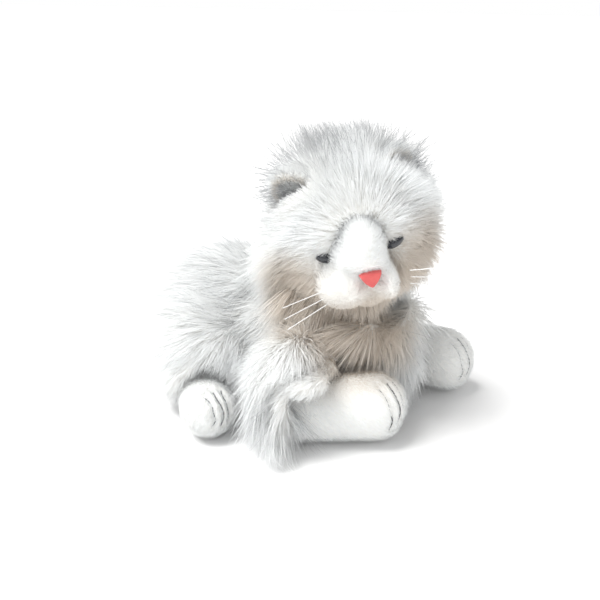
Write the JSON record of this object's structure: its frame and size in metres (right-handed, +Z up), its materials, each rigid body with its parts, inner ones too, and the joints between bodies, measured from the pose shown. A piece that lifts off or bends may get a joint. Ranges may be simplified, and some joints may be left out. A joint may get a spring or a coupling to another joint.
{
  "type": "plush cat",
  "caption": "Lying long-haired plush cat, head turned aside, with a short-pile muzzle and stitched paws.",
  "frame": {"origin": "on the floor under the middle of the trunk", "axes": "+Z up, -Y towards the front of the body, +X to the cat's left; the head is turned to the cat's right"},
  "size_m": [0.2652, 0.2949, 0.2247],
  "materials": {
    "long_pile": "long white faux-fur pile",
    "short_pile": "short white velboa plush",
    "ear_lining": "short warm-grey plush",
    "stuffing": "loose polyester fibre",
    "belly_cloth": "short white plush",
    "toe_thread": "dark grey thread",
    "whisker_nylon": "clear-white nylon monofilament",
    "eye_plastic": "polished dark grey",
    "nose_plastic": "flocked coral red",
    "washer_plastic": "natural moulded"
  },
  "bodies": {
    "trunk": {"trunk_cover": "long_pile", "trunk_fill": "stuffing", "belly_panel": "belly_cloth", "haunch_left_cover": "long_pile", "haunch_left_fill": "stuffing", "haunch_right_cover": "long_pile", "haunch_right_fill": "stuffing", "upper_arm_left_cover": "long_pile", "upper_arm_left_fill": "stuffing", "upper_arm_right_cover": "long_pile", "upper_arm_right_fill": "stuffing", "hind_foot_left_cover": "short_pile", "hind_foot_left_fill": "stuffing", "hind_foot_left_stitches": "toe_thread", "hind_foot_right_cover": "short_pile", "hind_foot_right_fill": "stuffing", "hind_foot_right_stitches": "toe_thread"},
    "neck": {"neck_core": "stuffing"},
    "head": {"head_cover": "long_pile", "head_fill": "stuffing", "muzzle_fill": "stuffing", "muzzle_bridge": "short_pile", "chin_pad": "short_pile", "nose": "nose_plastic", "nose_washer": "washer_plastic", "whisker_pad_left": "short_pile", "whisker_pad_right": "short_pile", "whiskers_left": "whisker_nylon", "whiskers_right": "whisker_nylon", "eye_left": "eye_plastic", "eye_right": "eye_plastic", "eye_left_washer": "washer_plastic", "eye_right_washer": "washer_plastic"},
    "ear_left": {"ear_left_back": "short_pile", "ear_left_lining": "ear_lining"},
    "ear_right": {"ear_right_back": "short_pile", "ear_right_lining": "ear_lining"},
    "foreleg_left": {"foreleg_left_cover": "short_pile", "foreleg_left_fill": "stuffing", "foreleg_left_stitches": "toe_thread"},
    "foreleg_right": {"foreleg_right_cover": "short_pile", "foreleg_right_fill": "stuffing", "foreleg_right_stitches": "toe_thread"},
    "tail": {"tail_cover": "long_pile", "tail_fill": "stuffing"}
  },
  "joints": [
    {"name": "head_turn", "type": "hinge", "parent": "trunk", "child": "neck", "pos_m": [-0.006, -0.032, 0.11], "axis": [0, 0, 1], "range_deg": [-12, 15], "stiffness_Nm_per_rad": 0.8},
    {"name": "head_nod", "type": "hinge", "parent": "neck", "child": "head", "pos_m": [-0.006, -0.032, 0.11], "axis": [0.5, -0.866, 0], "range_deg": [-7, 7], "stiffness_Nm_per_rad": 2.5},
    {"name": "foreleg_left_lift", "type": "hinge", "parent": "trunk", "child": "foreleg_left", "pos_m": [0.066, -0.046, 0.0233], "axis": [-0.9671, 0.2545, 0], "range_deg": [0, 20], "stiffness_Nm_per_rad": 0.1},
    {"name": "foreleg_right_lift", "type": "hinge", "parent": "trunk", "child": "foreleg_right", "pos_m": [-0.088, -0.03, 0.0233], "axis": [-0.9088, -0.4172, 0], "range_deg": [0, 20], "stiffness_Nm_per_rad": 0.1},
    {"name": "ear_left_flex", "type": "hinge", "parent": "head", "child": "ear_left", "pos_m": [-0.01927, -0.07578, 0.18955], "axis": [0.8014, -0.4678, -0.3728], "range_deg": [-12, 12], "stiffness_Nm_per_rad": 0.03},
    {"name": "ear_right_flex", "type": "hinge", "parent": "head", "child": "ear_right", "pos_m": [-0.04514, -0.03097, 0.1795], "axis": [-0.0948, -0.7561, 0.6475], "range_deg": [-12, 12], "stiffness_Nm_per_rad": 0.03},
    {"name": "tail_swing", "type": "hinge", "parent": "trunk", "child": "tail", "pos_m": [0.028, 0.098, 0.0183], "axis": [0, 0, 1], "range_deg": [0, 25], "stiffness_Nm_per_rad": 0.1}
  ]
}
